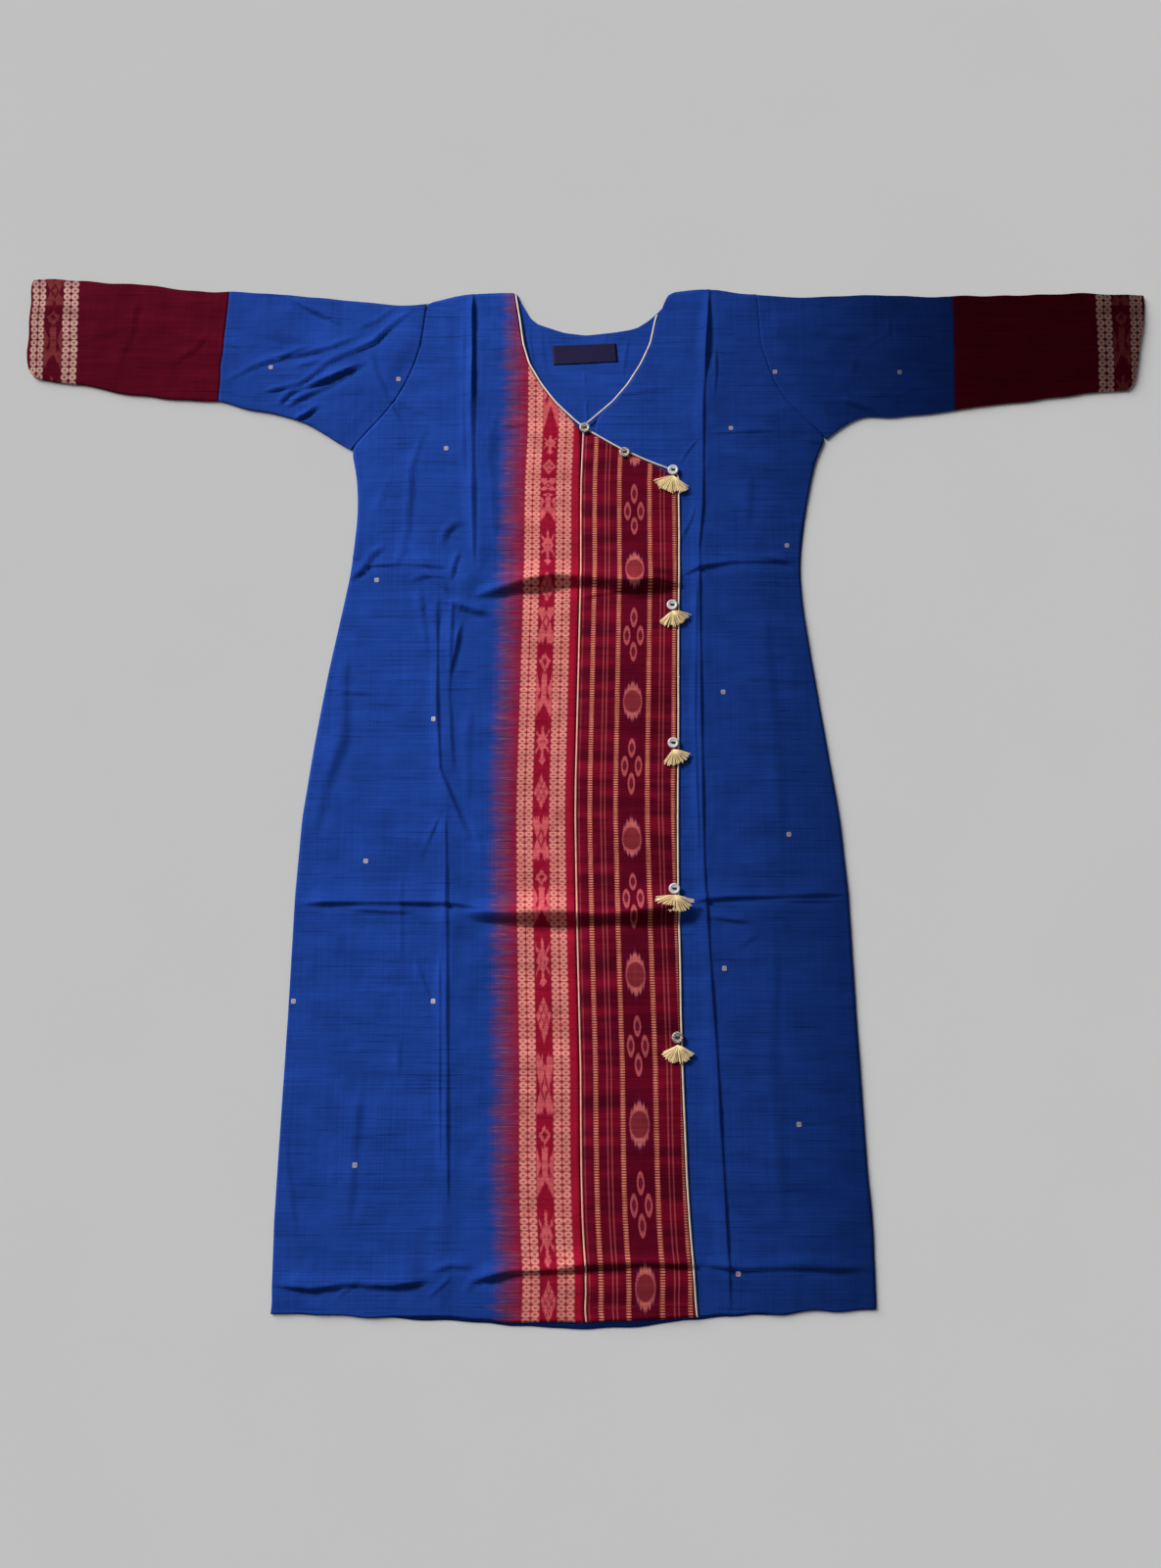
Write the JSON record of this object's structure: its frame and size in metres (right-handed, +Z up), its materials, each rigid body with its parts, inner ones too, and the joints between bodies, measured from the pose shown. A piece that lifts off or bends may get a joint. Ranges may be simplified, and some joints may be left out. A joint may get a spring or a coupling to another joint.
{
  "type": "kurti",
  "caption": "Long handloom kurti laid flat: overlapping front with a diagonal neck edge, side buttons with small tassels, and long sleeves with contrast lower parts.",
  "frame": {"origin": "middle of the bounding box in plan, on the surface that the kurti lies on", "axes": "+X from cuff to cuff towards the wearer's left, +Y from the hem to the neck, +Z up off the surface, out of the front"},
  "size_m": [1.2604, 1.1248, 0.0117],
  "materials": {
    "blue_cloth": "royal blue handloom cotton with a soft sheen, woven with small pale squares and a red border on the right front",
    "maroon_cloth": "deep maroon handloom cotton with woven gold stripes and ikat figures",
    "piping_cloth": "matt pale cream cotton piping",
    "shell": "satin shell, pale with grey and brown clouds",
    "tassel_thread": "matt cream cotton thread",
    "label_tape": "plain dark navy woven tape with no text"
  },
  "bodies": {
    "root": {"back": "blue_cloth", "front_right": "blue_cloth", "front_left": "blue_cloth", "overlap_panel": "maroon_cloth", "sleeve_right_upper": "blue_cloth", "sleeve_right_lower": "maroon_cloth", "sleeve_left_upper": "blue_cloth", "sleeve_left_lower": "maroon_cloth", "edge_piping": "piping_cloth", "neck_piping": "piping_cloth", "seam_piping": "piping_cloth", "label": "label_tape", "button_1": "shell", "button_2": "shell", "button_3": "shell", "button_4": "shell", "button_5": "shell", "button_6": "shell", "button_7": "shell", "tassel_1": "tassel_thread", "tassel_2": "tassel_thread", "tassel_3": "tassel_thread", "tassel_4": "tassel_thread", "tassel_5": "tassel_thread"}
  },
  "joints": []
}
